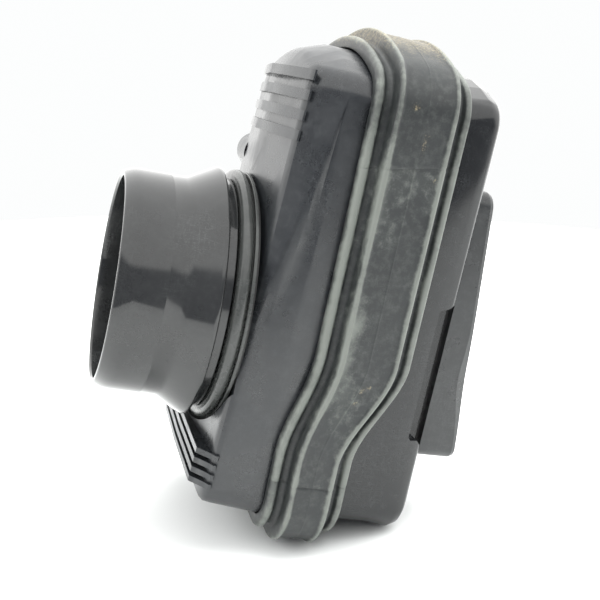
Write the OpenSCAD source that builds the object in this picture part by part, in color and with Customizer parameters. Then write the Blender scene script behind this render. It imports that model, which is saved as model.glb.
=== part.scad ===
// Air filter housing for a small engine.
// Two moulded shells meet under a stepped rubber band. A round hose spigot swivels in the
// front wall, a flat-sided inlet collar stands on the rear wall, and a panel filter element
// lies between them. X runs along the spigot's axis into the housing and Z is up.
// Places along X are given from the spigot's mouth; the origin is the middle of its hose land.

/* [Shells] */
// Depth of the shells at their joint, from the near side to the far side
body_depth = 75; // [72:1:94]
// Height of the shells' top above the spigot's axis
body_top = 83.6; // [80:0.1:101]
// Drop of the shells' underside below the spigot's axis
body_bottom = 61; // [58:1:74]
// Thickness of the moulded walls
wall = 2.5; // [1.8:0.1:3]
// Radius of the long corners between the sides and the top or bottom
corner_r = 9; // [7:0.5:12]
// Radius of the crowned top, across the shells
crown_r = 60; // [50:1:120]
// Place of the front wall's corners, at the height of the axis
front_x = 39.1; // [38:0.1:42]
// Depth of the front wall, from corner to corner
front_depth = 71; // [70:1:88]
// How much the front wall narrows on each side towards its top
front_narrow = 4.5; // [2:0.5:6]
// Backward lean of the front wall, in degrees
front_lean = 3.7; // [2:0.1:5]
// Height of the front wall's central crease above its corners
crease_h = 2.8; // [1:0.1:3.5]
// Radius of the front wall's upright corners
front_edge_r = 3.5; // [2:0.1:5]
// Radius of the front wall's upper edge
front_top_r = 5; // [4:0.5:12]
// Place where the front shell's taper ends and its straight rim starts
taper_end_x = 54; // [52:0.5:56]
// Place of the joint between the shells, above the step
joint_x = 75; // [72:0.5:78]
// Place where the rear shell's straight rim ends
rear_taper_x = 91; // [90.5:0.1:93]
// Place of the rear wall
rear_x = 103.5; // [102:0.5:118]
// Depth of the rear wall, from corner to corner
rear_depth = 72; // [68:1:90]
// Radius of the rear wall's edges
rear_edge_r = 5; // [3:0.5:7]
// Height of the rear wall's top above the shells' top
rear_top_rise = 0.5; // [0:0.1:1]
// Drop of the rear wall's underside below the shells' underside
rear_bottom_drop = 1.5; // [0:0.1:2]

/* [Step in the joint] */
// Height at which the joint starts to step forward
step_top = -5; // [-10:1:5]
// Height at which the step is complete
step_bottom = -38; // [-45:1:-30]
// How far the joint steps forward
joint_step = 8.6; // [5:0.1:10]
// Gap between the faces of the two shells
joint_gap = 0.4; // [0.3:0.1:0.8]
// Height of the front shell's rim flange
flange_h = 2.4; // [1.5:0.1:3]
// Width of the front shell's rim flange
flange_w = 3; // [2:0.1:4]

/* [Rubber band] */
// Place of the band's front edge, above the step
band_front_x = 60.2; // [58:0.1:63]
// Place of the band's rear edge, above the step
band_rear_x = 90; // [86:0.1:90.4]
// How far the band's front edge steps forward
band_front_step = 6; // [4:0.1:8]
// How far the band's rear edge steps forward
band_rear_step = 11.4; // [8:0.1:13]
// Height of the band's two side lips above the shells
band_lip_h = 4.4; // [3.8:0.1:5]
// Height of the band's middle panel above the shells
band_panel_h = 8; // [6.8:0.1:9]
// Width of each side lip, with its groove
band_lip_w = 7; // [5:0.1:8]
// Clearance between the band and the shells
band_gap = 0.3; // [0.2:0.05:0.5]

/* [Comb ribs] */
// Number of ribs in each comb
rib_count = 4; // [2:1:5]
// Height of the upper comb's lowest rib, along the leaning wall
upper_rib_z = 55.6; // [54:0.1:57]
// Spacing of the upper ribs
upper_rib_pitch = 5.8; // [5:0.1:6]
// Thickness of the upper ribs
upper_rib_t = 3; // [2:0.1:3.6]
// Reach of the upper ribs ahead of the wall's corners
upper_rib_reach = 4.8; // [4:0.1:6]
// Flat width of the upper ribs' front edge
upper_rib_flat = 32; // [24:1:40]
// Height of the lower comb's highest rib, along the leaning wall
lower_rib_z = -42.4; // [-44:0.1:-42.4]
// Spacing of the lower ribs
lower_rib_pitch = 3.1; // [2.6:0.1:3.4]
// Thickness of the lower ribs
lower_rib_t = 1.7; // [1.4:0.1:2]
// Reach of the lower ribs ahead of the wall's corners
lower_rib_reach = 4.6; // [3:0.1:6]
// Flat width of the lower ribs' front edge
lower_rib_flat = 62; // [50:1:66]

/* [Hose spigot] */
// Radius of the hose land
land_r = 35; // [33:0.1:36]
// Radius at the spigot's mouth
mouth_r = 33.6; // [32.8:0.1:34.5]
// Place where the hose land starts
land_start_x = 4; // [3:0.1:6]
// Place where the hose land ends, at the waist
land_end_x = 20; // [16:0.1:22]
// Radius of the shoulder that stops the hose
shoulder_r = 40; // [38:0.1:42]
// Place of the shoulder's crest
shoulder_x = 29.6; // [27:0.1:30]
// Radius of the spigot's bore at its mouth
spigot_bore_r = 32; // [30:0.1:32.4]
// Place where the bore starts to narrow
bore_end_x = 24; // [20:1:26]
// Radius of the bore in the tail
tail_bore_r = 28.8; // [27:0.1:29]
// Radius of the groove behind the shoulder
groove_r = 37; // [35:0.1:37.5]
// Radius of the tail that turns in the front wall
tail_r = 31; // [30.6:0.1:31.2]
// Running clearance of the tail
swivel_gap = 0.08; // [0.03:0.01:0.1]
// Place of the face that the spigot's ring seats on
seat_x = 39.2; // [38.8:0.1:40]
// Length of the wall that the tail turns in
seat_len = 4.8; // [4:0.1:6]
// Radius of the recess round the spigot
recess_r = 41.2; // [41:0.1:41.5]
// Radius of the retaining ring's crest
ring_r = 40.2; // [39:0.1:40.6]
// Width of the retaining ring
ring_w = 5.2; // [4.5:0.1:5.4]
// Thickness of the rubber washer behind the ring
grommet_t = 0.8; // [0.5:0.1:1.2]
// Radius of the O-ring's section
o_ring_r = 0.62; // [0.5:0.01:0.65]
// Thickness of the snap ring
snap_t = 1.6; // [1:0.1:2]

/* [Rear recesses and inlet collar] */
// How far the side recesses reach ahead of the rear wall
notch_len = 6.5; // [6:0.1:7.5]
// Height of the recesses' upper end
notch_top = 13; // [8:1:18]
// Height of the recesses' lower end
notch_bottom = -30; // [-34:1:-26]
// Width left between the two recesses
notch_width = 55.4; // [52:0.1:57]
// Width of the inlet collar
collar_width = 60; // [59.5:0.5:66]
// Height of the collar's top above the axis
collar_top = 50; // [46:1:56]
// Drop of the collar's underside below the axis
collar_bottom = 38; // [35:1:42]
// Corner radius of the collar
collar_corner_r = 5; // [3:0.5:8]
// Wall of the collar
collar_wall = 2.4; // [1.8:0.1:3]
// Length of the collar at its top
collar_len_top = 4.5; // [4:0.5:10]
// Extra length of the collar at its bottom
collar_lean = 9; // [4:0.5:10]
// Margin of the inlet opening inside the collar
inlet_margin = 9; // [8.5:0.1:10]
// Thickness of the collar's gasket
collar_gasket_t = 1; // [0.8:0.1:1.5]

/* [Filter element] */
// Place of the ledge inside the front shell
ledge_x = 58; // [56:0.5:58.5]
// Thickness of the ledge
ledge_t = 2; // [1.5:0.1:2.5]
// Width of the ledge
ledge_w = 7; // [6:0.5:9]
// Thickness of the support grid
grid_t = 2.4; // [2:0.1:3]
// Length of the filter element, along X
element_len = 25.2; // [22:0.1:26]
// Clearance of the element inside the shells
element_gap = 0.6; // [0.4:0.1:1]
// Wall of the element's frame
frame_wall = 3; // [2:0.1:4]
// Depth of the pleats
pleat_depth = 14; // [10:0.5:14]
// Spacing of the pleats
pleat_pitch = 4.2; // [3:0.1:6]
// Thickness of the paper
paper_t = 0.6; // [0.4:0.1:1]
// Radius of the glue beads that space the pleats
bead_r = 0.45; // [0.3:0.05:0.48]
// Thickness of the foam layer
foam_t = 4; // [2:0.5:4]

/* [Mounting and drain] */
// Height of the upper threaded insert
insert_top = 45; // [40:1:50]
// Distance between the two threaded inserts
insert_spacing = 80; // [70:1:82]
// Outer radius of the threaded inserts
insert_r = 4; // [3.5:0.1:4.5]
// Radius of the inserts' thread
thread_r = 2.5; // [2:0.1:3]
// Depth of the threaded inserts
insert_len = 9; // [7:0.5:9]
// Place of the drain along X
drain_x = 85; // [84.6:0.1:85.2]
// Radius of the drain hole
drain_r = 4; // [3:0.1:4.2]
// Height of the drain plug's head
drain_head_t = 1.6; // [1:0.1:2]

/* [Hidden] */

far = 200;
land_mid = (land_start_x + land_end_x) / 2;
rim_half = body_depth / 2;
front_half = front_depth / 2;
rear_half = rear_depth / 2;
crease_x = front_x - crease_h;
edge_steps = [0, 0.07, 0.22, 0.44, 1];
inner_top_drop = (rim_half - wall) * (rim_half - wall) / (2 * crown_r);
step_zs = [for (i = [0:8]) step_top + (step_bottom - step_top) * i / 8];
inner_half = rim_half - wall;
element_half = inner_half - element_gap;
element_top = body_top - wall - element_gap;
element_bottom = body_bottom - wall - element_gap;
inner_r = corner_r - wall;
grid_x = ledge_x + ledge_t;
element_x = grid_x + grid_t + 0.2;
element_end_x = element_x + element_len;
gasket_t = 2;
screw_head_r = 3;
pleat_x = element_x + 5.4;
foam_x = element_end_x - foam_t - 0.8;
pocket_half = element_half - frame_wall - 0.2;
pocket_top = element_top - frame_wall - 0.2;
pocket_bottom = element_bottom - frame_wall - 0.2;
pocket_r = inner_r - frame_wall - 0.5;
collar_x = rear_x + collar_gasket_t;
notch_x = rear_x - notch_len;
inlet_half = collar_width / 2 - inlet_margin;
inlet_top = collar_top - inlet_margin;
inlet_bottom = collar_bottom - inlet_margin;
collar_screw_y = notch_width / 2 - wall - screw_head_r - 0.3;
collar_screw_top = collar_top - collar_wall - 3.4;
collar_screw_bottom = collar_bottom - collar_wall - 3.4;
grid_screw_y = inner_half - 4;
grid_screw_top = body_top - wall - 5 - inner_top_drop;
grid_screw_bottom = body_bottom - wall - 7.5;
insert_wall = 2.2;
insert_x = band_front_x - band_front_step - insert_r - insert_wall - 0.6;
insert_face_y = rim_half + 2;

// 1 below the step, 0 above it, and a smooth turn between
function step_share(z) =
    z >= step_top ? 0 :
    z <= step_bottom ? 1 :
    let (t = (step_top - z) / (step_top - step_bottom)) t * t * (3 - 2 * t);

// Side view of a line round the joint: its points from top to bottom
function stepped_line(x, step) =
    concat([[x, far]], [for (z = step_zs) [x - step * step_share(z), z]], [[x - step, -far]]);

function backwards(list) = [for (i = [len(list) - 1:-1:0]) list[i]];

// How far a round edge of radius r stands in at a distance d behind its face
function round_in(r, d) = d >= r ? 0 : r - sqrt(r * r - (r - d) * (r - d));

// Everything is placed from the spigot's mouth
module from_mouth() {
    translate([-land_mid, 0, 0]) children();
}

// A YZ outline, extruded along X
module along_x(x0, x1) {
    translate([x0, 0, 0]) rotate([90, 0, 90]) linear_extrude(x1 - x0) children();
}

// An XZ outline, extruded across the housing from y0 to y1
module across(y0, y1) {
    translate([0, y1, 0]) rotate([90, 0, 0]) linear_extrude(y1 - y0) children();
}

// A profile of radius and X, turned about the spigot's axis
module about_axis() {
    rotate([0, 90, 0]) rotate_extrude($fn = 128) children();
}

// A round bar along X
module bar_x(x0, x1, r) {
    translate([x0, 0, 0]) rotate([0, 90, 0]) cylinder(h = x1 - x0, r = r, $fn = 64);
}

// A rounded rectangle about the axis, in Y and Z
module outline(half, top, bottom, r) {
    offset(r = r, $fn = 32)
        translate([-half + r, -bottom + r]) square([2 * (half - r), top + bottom - 2 * r]);
}

// The shells' outline: a rounded rectangle with a crowned top, narrower there if wanted
module shell_outline(half, top, bottom, r, narrow = 0) {
    top_half = half - narrow - r;
    offset(r = r, $fn = 32) polygon(concat(
        [[-half + r, 0], [-half + r, -bottom + r], [half - r, -bottom + r], [half - r, 0]],
        [for (t = [1:-0.25:-1]) [t * top_half, top - r - pow(t * top_half, 2) / (2 * crown_r)]]));
}

module shell_ring(half, top, bottom, r, width) {
    difference() {
        shell_outline(half, top, bottom, r);
        shell_outline(half - width, top - width, bottom - width, max(r - width, 1));
    }
}

module slab(x, half, top, bottom, r, narrow = 0) {
    along_x(x, x + 0.4) shell_outline(half, top, bottom, r, narrow);
}

// Mirrored copies on the near and far sides, at the top and bottom
module four(y, top, bottom) {
    for (side = [-1, 1]) {
        translate([0, side * y, top]) children();
        translate([0, side * y, -bottom]) children();
    }
}

// The front shell's solid form up to end_x, made smaller by inset for its inside
module front_form(inset, end_x) {
    hull() {
        translate([front_x + inset, 0, 0]) rotate([0, front_lean, 0]) {
            for (s = edge_steps) {
                d = s * front_top_r;
                side = inset + round_in(front_edge_r, d);
                slab(d, front_half - side, body_top - 1.5 - inset - round_in(front_top_r, d),
                     body_bottom - 1.5 - side, corner_r - inset - 1, front_narrow);
            }
            translate([0, 0, 12 - body_bottom]) linear_extrude(body_top + body_bottom - 26)
                polygon([[-crease_h, 0], [0.1, 2], [0.1, -2]]);
        }
        rim_block(inset, taper_end_x, end_x);
    }
}

// The rear shell's solid form from start_x, made smaller by inset for its inside
module rear_form(inset, start_x) {
    rim_block(inset, start_x, rear_taper_x);
    hull() {
        for (s = edge_steps) {
            d = s * rear_edge_r;
            side = inset + round_in(rear_edge_r, d);
            slab(rear_x - inset - d - 0.4, rear_half - side, body_top + rear_top_rise - side,
                 body_bottom + rear_bottom_drop - side, corner_r - inset - 1);
        }
        rim_block(inset, rear_taper_x, rear_taper_x + 0.4);
    }
}

module rim_block(inset, x0, x1) {
    along_x(x0, x1)
        shell_outline(rim_half - inset, body_top - inset, body_bottom - inset, corner_r - inset);
}

module ahead_of_joint() {
    across(-far, far)
        polygon(concat([[-far, far]], stepped_line(joint_x, joint_step), [[-far, -far]]));
}

module behind_joint() {
    across(-far, far)
        polygon(concat([[far, far]], stepped_line(joint_x + joint_gap, joint_step), [[far, -far]]));
}

module rim_flange() {
    intersection() {
        across(-far, far) polygon(concat(stepped_line(joint_x - flange_w, joint_step),
                                         backwards(stepped_line(joint_x, joint_step))));
        rim_block(-flange_h, taper_end_x, joint_x + 1);
    }
}

// One comb rib, lying on the leaning wall, with its front edge creased like the wall
module rib(reach, crease, flat, side_half, len, thickness) {
    near_side = [[-reach, 0], [crease - reach, flat / 2], [-0.2, side_half - 1.6],
                 [len / 2, side_half], [len, side_half]];
    linear_extrude(thickness, center = true)
        polygon(concat([for (p = near_side) [p[0], -p[1]]], backwards(near_side)));
}

module ribs() {
    translate([front_x, 0, 0]) rotate([0, front_lean, 0])
        for (i = [0:rib_count - 1]) {
            translate([0, 0, upper_rib_z + i * upper_rib_pitch])
                rib(upper_rib_reach, 2.1, upper_rib_flat, front_half - front_narrow + 0.6, 1.2,
                    upper_rib_t);
            translate([0, 0, lower_rib_z - i * lower_rib_pitch])
                rib(lower_rib_reach, 0.4, lower_rib_flat, front_half + 0.4, 2, lower_rib_t);
        }
}

module insert_bosses() {
    for (z = [insert_top, insert_top - insert_spacing])
        translate([insert_x, insert_face_y, z]) rotate([90, 0, 0])
            cylinder(h = insert_len + 4, r = insert_r + insert_wall, $fn = 48);
}

module insert_holes() {
    for (z = [insert_top, insert_top - insert_spacing])
        translate([insert_x, insert_face_y + 1, z]) rotate([90, 0, 0])
            cylinder(h = insert_len + 2.5, r = insert_r, $fn = 48);
}

// What stands inside the front shell: spigot seat, ledge and bosses
module front_inner_parts() {
    bar_x(seat_x - 6, seat_x + seat_len, recess_r + 2.4);
    difference() {
        translate([ledge_x, -far / 2, -far / 2]) cube([ledge_t, far, far]);
        along_x(ledge_x - 1, ledge_x + ledge_t + 1)
            shell_outline(inner_half - ledge_w, body_top - wall - ledge_w,
                          body_bottom - wall - ledge_w, inner_r - 3);
    }
    four(grid_screw_y, grid_screw_top, grid_screw_bottom) bar_x(ledge_x - 6, ledge_x + 1, 3.6);
    insert_bosses();
}

module front_shell() {
    color("#43474a") from_mouth() difference() {
        union() {
            intersection() {
                front_form(0, joint_x + 1);
                ahead_of_joint();
            }
            rim_flange();
            ribs();
            insert_bosses();
        }
        difference() {
            front_form(wall, joint_x + 2);
            front_inner_parts();
        }
        bar_x(0, seat_x, recess_r);
        bar_x(seat_x - 1, seat_x + seat_len + 1, tail_r + swivel_gap);
        insert_holes();
        four(grid_screw_y, grid_screw_top, grid_screw_bottom) bar_x(ledge_x - 5, grid_x + 1, 1.5);
    }
}

// Half an ellipse of ring section, in radius and X
function crest(x0, width, base_r, top_r, steps) =
    [for (i = [0:steps]) let (a = 180 * i / steps)
        [base_r + (top_r - base_r) * sin(a), x0 + width * (1 - cos(a)) / 2]];

module outlet_spigot() {
    tail_end = seat_x + seat_len + snap_t + 2.4;
    o_groove_x = seat_x + seat_len / 2;
    snap_x = seat_x + seat_len + 0.3;
    color("#1d1f20") from_mouth() about_axis() polygon(concat(
        [[spigot_bore_r, 0.6], [spigot_bore_r + 0.5, 0]],
        [for (i = [0:5]) let (a = 18 * i)
            [mouth_r - 0.4 + (land_r - mouth_r + 0.4) * sin(a), land_start_x * (1 - cos(a))]],
        [[land_r, land_start_x], [land_r, land_end_x], [shoulder_r, shoulder_x - 0.4],
         [shoulder_r - 0.3, shoulder_x], [groove_r, shoulder_x + 0.6],
         [groove_r, seat_x - grommet_t - ring_w - 0.4],
         [tail_r, seat_x - grommet_t - ring_w - 0.4],
         [tail_r, o_groove_x - o_ring_r - 0.1],
         [tail_r + swivel_gap - 2 * o_ring_r - 0.04, o_groove_x - o_ring_r - 0.1],
         [tail_r + swivel_gap - 2 * o_ring_r - 0.04, o_groove_x + o_ring_r + 0.1],
         [tail_r, o_groove_x + o_ring_r + 0.1],
         [tail_r, snap_x - 0.05],
         [tail_r - 1.1, snap_x - 0.05], [tail_r - 1.1, snap_x + snap_t + 0.05],
         [tail_r, snap_x + snap_t + 0.05],
         [tail_r, tail_end - 0.6], [tail_r - 0.6, tail_end], [tail_bore_r, tail_end],
         [tail_bore_r, shoulder_x + 2], [spigot_bore_r, bore_end_x]]));
}

module spigot_ring() {
    ring_x = seat_x - grommet_t - ring_w;
    bead_w = ring_w * 0.74;
    lip_w = ring_w - bead_w;
    color("#2b2e2f") from_mouth() about_axis() polygon(concat(
        [[tail_r + swivel_gap, ring_x]],
        crest(ring_x, bead_w, ring_r - 2.2, ring_r, 10),
        crest(ring_x + bead_w, lip_w, ring_r - 1, ring_r - 0.3, 4),
        [[tail_r + swivel_gap, ring_x + ring_w]]));
}

module spigot_grommet() {
    color("#101111") from_mouth() difference() {
        bar_x(seat_x - grommet_t, seat_x, ring_r - 2);
        bar_x(seat_x - grommet_t - 1, seat_x + 1, tail_r + swivel_gap);
    }
}

module spigot_o_ring() {
    color("#141414") from_mouth() about_axis()
        translate([tail_r + swivel_gap - o_ring_r - 0.02, seat_x + seat_len / 2])
            circle(r = o_ring_r, $fn = 24);
}

module spigot_snap_ring() {
    x0 = seat_x + seat_len + 0.3;
    color("#9a9c9e") from_mouth() difference() {
        bar_x(x0, x0 + snap_t, tail_r + 1.7);
        bar_x(x0 - 1, x0 + snap_t + 1, tail_r - 1.05);
        translate([x0 - 1, -4, 0]) cube([snap_t + 2, 8, tail_r + 8]);
    }
}

module mount_inserts() {
    color("#b08d4a") from_mouth()
        for (z = [insert_top, insert_top - insert_spacing])
            translate([insert_x, insert_face_y, z]) rotate([90, 0, 0]) difference() {
                cylinder(h = insert_len, r = insert_r, $fn = 48);
                translate([0, 0, -1]) cylinder(h = insert_len + 2, r = thread_r, $fn = 48);
            }
}

// A plate pierced by windows in rows and columns
module windows(half, top, bottom, columns, rows, bar) {
    cell_y = (2 * half + bar) / columns;
    cell_z = (top + bottom + bar) / rows;
    for (i = [0:columns - 1], j = [0:rows - 1])
        translate([-half + i * cell_y, -bottom + j * cell_z]) square([cell_y - bar, cell_z - bar]);
}

module support_grid() {
    color("#2e3133") from_mouth() difference() {
        along_x(grid_x, grid_x + grid_t) difference() {
            shell_outline(element_half, element_top, element_bottom, inner_r);
            windows(element_half - 9, element_top - 12 - inner_top_drop, element_bottom - 12, 4, 8, 2);
        }
        four(grid_screw_y, grid_screw_top, grid_screw_bottom) {
            bar_x(grid_x - 1, grid_x + grid_t + 1, 1.6);
            bar_x(grid_x + grid_t - 1.5, grid_x + grid_t + 1, 3.2);
        }
    }
}

module grid_screws() {
    color("#8f9294") from_mouth()
        four(grid_screw_y, grid_screw_top, grid_screw_bottom) difference() {
            union() {
                bar_x(ledge_x - 4.5, grid_x + grid_t - 1.4, 1.5);
                bar_x(grid_x + grid_t - 1.5, grid_x + grid_t - 0.1, screw_head_r);
            }
            translate([grid_x + grid_t - 0.8, -2, -0.4]) cube([1, 4, 0.8]);
            translate([grid_x + grid_t - 0.8, -0.4, -2]) cube([1, 0.8, 4]);
        }
}

// A strip of the band, in from its two edges and out to a given reach
module band_strip(front_in, rear_in, reach) {
    intersection() {
        across(-far, far) polygon(concat(
            stepped_line(band_front_x + front_in, band_front_step),
            backwards(stepped_line(band_rear_x - rear_in, band_rear_step))));
        rim_block(-reach, band_front_x - band_front_step - 1, band_rear_x + 1);
    }
}

module seal_band() {
    color("#35393a") from_mouth() difference() {
        union() {
            band_strip(0, 0, band_lip_h);
            band_strip(band_lip_w, band_lip_w, band_panel_h);
        }
        rim_block(-band_gap, band_front_x - band_front_step - 2, band_rear_x + 2);
        intersection() {
            across(-far, far) polygon(concat(
                stepped_line(joint_x - flange_w - 0.4, joint_step),
                backwards(stepped_line(joint_x + 0.4, joint_step))));
            rim_block(-flange_h - 0.4, band_front_x - band_front_step, band_rear_x);
        }
    }
}

// Side recess outline, rounded where it meets the rear wall
module notch_outline(grow) {
    r = min(rear_edge_r, notch_len - 1.2);
    offset(delta = grow) polygon(concat(
        [[rear_x + 12, notch_top + r]],
        [for (a = [90:-15:0]) [rear_x - r + r * sin(a), notch_top + r * (1 - cos(a))]],
        [[notch_x + 1, notch_top], [notch_x, notch_top - 1], [notch_x, notch_bottom + 1],
         [notch_x + 1, notch_bottom], [rear_x - 3, notch_bottom], [rear_x, notch_bottom - 3],
         [rear_x + 12, notch_bottom - 3]]));
}

module notches(grow) {
    for (side = [-1, 1])
        translate([0, side * (notch_width / 2 - grow + far / 2), 0])
            across(-far / 2, far / 2) notch_outline(grow);
}

// Posts that press on the element's frame
module element_posts() {
    depth = 5;
    for (side = [-1, 1], z = [body_top - wall - 20, -body_bottom + wall + 12])
        translate([element_end_x + 0.3, side * (inner_half - 2.4) - depth / 2, z])
            cube([rear_x - element_end_x, depth, 4]);
}

module rear_shell() {
    color("#26292a") from_mouth() difference() {
        intersection() {
            rear_form(0, joint_x - joint_step - 1);
            behind_joint();
        }
        notches(0);
        difference() {
            rear_form(wall, joint_x - joint_step - 2);
            notches(wall);
            element_posts();
        }
        along_x(rear_x - wall - 2, rear_x + 1)
            outline(inlet_half, inlet_top, inlet_bottom, collar_corner_r);
        four(collar_screw_y, collar_screw_top, collar_screw_bottom)
            bar_x(rear_x - wall - 2, rear_x + 1, 1.9);
        translate([drain_x, 0, -body_bottom - 1]) cylinder(h = wall + 4, r = drain_r, $fn = 48);
    }
}

// Side view of the collar, from x0 to its leaning rim
module collar_side(x0, short) {
    end_x = collar_x + collar_len_top - short;
    polygon([[x0, collar_top + 1], [end_x, collar_top + 1],
             [end_x + collar_lean, -collar_bottom - 1], [x0, -collar_bottom - 1]]);
}

module inlet_collar() {
    half = collar_width / 2;
    color("#33373a") from_mouth() difference() {
        union() {
            difference() {
                intersection() {
                    across(-half - 1, half + 1) collar_side(collar_x, 0);
                    along_x(collar_x, rear_x + 30)
                        outline(half, collar_top, collar_bottom, collar_corner_r);
                }
                along_x(collar_x + 2.5, rear_x + 30)
                    outline(half - collar_wall, collar_top - collar_wall,
                            collar_bottom - collar_wall, collar_corner_r - collar_wall);
                along_x(collar_x - 1, collar_x + 4)
                    outline(inlet_half, inlet_top, inlet_bottom, collar_corner_r);
            }
            four(collar_screw_y, collar_screw_top, collar_screw_bottom)
                bar_x(collar_x, collar_x + collar_len_top - 1.5, 3.6);
        }
        four(collar_screw_y, collar_screw_top, collar_screw_bottom)
            bar_x(collar_x - 1, collar_x + collar_len_top - 2.5, 1.5);
    }
}

module collar_gasket() {
    color("#151616") from_mouth() difference() {
        along_x(rear_x, collar_x) difference() {
            outline(notch_width / 2 - 0.3, collar_top - 1, collar_bottom - 1, collar_corner_r);
            outline(inlet_half, inlet_top, inlet_bottom, collar_corner_r);
        }
        four(collar_screw_y, collar_screw_top, collar_screw_bottom)
            bar_x(rear_x - 1, collar_x + 1, 1.9);
    }
}

module collar_screws() {
    head_x = rear_x - wall;
    color("#8f9294") from_mouth()
        four(collar_screw_y, collar_screw_top, collar_screw_bottom) difference() {
            union() {
                bar_x(head_x - 1, collar_x + collar_len_top - 2.8, 1.5);
                bar_x(head_x - 2, head_x, screw_head_r);
            }
            translate([head_x - 2.5, -2, -0.4]) cube([1.3, 4, 0.8]);
            translate([head_x - 2.5, -0.4, -2]) cube([1.3, 0.8, 4]);
        }
}

module drain_plug() {
    color("#121313") from_mouth() translate([drain_x, 0, -body_bottom]) {
        translate([0, 0, -drain_head_t]) cylinder(h = drain_head_t, r = drain_r + 1.6, $fn = 48);
        cylinder(h = wall + element_gap / 2, r = drain_r - 0.06, $fn = 48);
    }
}

module filter_frame() {
    color("#c9622a") from_mouth()
        along_x(element_x + gasket_t, element_end_x)
            shell_ring(element_half, element_top, element_bottom, inner_r, frame_wall);
}

module filter_gasket() {
    color("#1f2122") from_mouth()
        along_x(element_x, element_x + gasket_t)
            shell_ring(element_half, element_top, element_bottom, inner_r, frame_wall + 2);
}

// Zigzag of paper, from its lowest fold to its highest
module pleat_pack() {
    pleat_top = pocket_top - inner_top_drop;
    folds = floor((pleat_top + pocket_bottom - 4) / (pleat_pitch / 2));
    start = (pleat_top - pocket_bottom) / 2 - folds * pleat_pitch / 4;
    paper_x = paper_t * pleat_depth / (pleat_pitch / 2 + paper_t);
    line = [for (i = [0:folds])
        [pleat_x + (i % 2) * (pleat_depth - paper_x), start + i * pleat_pitch / 2]];
    color("#d9c7a0") from_mouth() across(-pocket_half + pocket_r, pocket_half - pocket_r)
        polygon(concat(line, backwards([for (p = line) [p[0] + paper_x, p[1]]])));
}

module pleat_beads() {
    span = pocket_top - inner_top_drop + pocket_bottom - 8;
    color("#ece6d6") from_mouth()
        for (y = [-pocket_half * 0.55, 0, pocket_half * 0.55],
             x = [pleat_x - bead_r, pleat_x + pleat_depth + bead_r])
            translate([x, y, -pocket_bottom + 4]) cylinder(h = span, r = bead_r, $fn = 16);
}

module element_screen() {
    color("#a7aaac") from_mouth() along_x(element_x + 2.6, element_x + 3.2) difference() {
        shell_outline(pocket_half, pocket_top, pocket_bottom, pocket_r);
        windows(pocket_half - 2.5, pocket_top - 5 - inner_top_drop, pocket_bottom - 5, 9, 18, 0.9);
    }
}

module foam_prefilter() {
    color("#3f4a3c") from_mouth() along_x(foam_x, foam_x + foam_t)
        shell_outline(pocket_half, pocket_top, pocket_bottom, pocket_r);
}

module pull_tab() {
    half = 12;
    reach = 6.5;
    strap = 1.8;
    crown_drop = half * half / (2 * crown_r);
    color("#c9622a") from_mouth()
        translate([element_end_x, 0, element_top - frame_wall + 0.3 - crown_drop])
            linear_extrude(frame_wall - 0.6) difference() {
                polygon([[0, -half], [reach, -half + 3], [reach, half - 3], [0, half]]);
                polygon([[-1, -half + strap], [reach - strap, -half + 3 + strap],
                         [reach - strap, half - 3 - strap], [-1, half - strap]]);
            }
}

front_shell();
outlet_spigot();
spigot_ring();
spigot_grommet();
spigot_o_ring();
spigot_snap_ring();
mount_inserts();
support_grid();
grid_screws();
seal_band();
rear_shell();
inlet_collar();
collar_gasket();
collar_screws();
drain_plug();
filter_frame();
filter_gasket();
pleat_pack();
pleat_beads();
element_screen();
foam_prefilter();
pull_tab();
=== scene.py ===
"""Looks of an air filter housing: detailed pieces, finishes, a studio and a camera.

Sizes inside the classes are millimetres. Places along X are given from the mouth of the hose
spigot, as on a drawing of the part, and `at_mm` turns them into the frame's metres.
"""

import logging
import math
from dataclasses import dataclass, field
from enum import Enum
from typing import Optional, Sequence

import bmesh
import bpy
from mathutils import Matrix, Vector, noise


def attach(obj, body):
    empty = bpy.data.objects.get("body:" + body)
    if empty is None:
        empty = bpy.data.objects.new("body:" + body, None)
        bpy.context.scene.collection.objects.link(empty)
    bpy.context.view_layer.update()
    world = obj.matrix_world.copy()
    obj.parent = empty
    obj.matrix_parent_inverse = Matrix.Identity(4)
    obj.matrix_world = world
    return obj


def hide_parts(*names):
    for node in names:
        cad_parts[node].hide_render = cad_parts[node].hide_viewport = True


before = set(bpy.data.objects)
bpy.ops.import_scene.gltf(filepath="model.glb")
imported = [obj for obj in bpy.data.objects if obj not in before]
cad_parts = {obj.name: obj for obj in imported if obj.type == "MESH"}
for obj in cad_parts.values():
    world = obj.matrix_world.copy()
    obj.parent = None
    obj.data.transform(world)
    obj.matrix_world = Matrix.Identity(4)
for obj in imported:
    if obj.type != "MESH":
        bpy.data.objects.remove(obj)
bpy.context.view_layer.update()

LOG = logging.getLogger("air_filter_housing")
MM = 0.001
HOSE_LAND_MID = 12.0
FLAT_ANGLE = math.radians(0.8)
MERGE_DISTANCE = 0.01 * MM
ON_CIRCLE_MM = 0.004
ON_FACE_MM = 0.05

Colour = tuple[float, float, float]
GroupParts = tuple[bpy.types.NodeTree, bpy.types.Node, bpy.types.Node]


def at_mm(x: float, y: float, z: float) -> Vector:
    """Gives the frame's point for millimetres measured from the spigot's mouth."""
    return Vector(((x - HOSE_LAND_MID) * MM, y * MM, z * MM))


def from_mouth(point: Vector) -> Vector:
    """Gives a frame point back as millimetres measured from the spigot's mouth."""
    return Vector((point.x / MM + HOSE_LAND_MID, point.y / MM, point.z / MM))


def hump(value: float, middle: float, spread: float) -> float:
    """Gives a bell curve of height 1 round the middle."""
    return math.exp(-(((value - middle) / spread) ** 2))


# ---------------------------------------------------------------- node helpers


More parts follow.
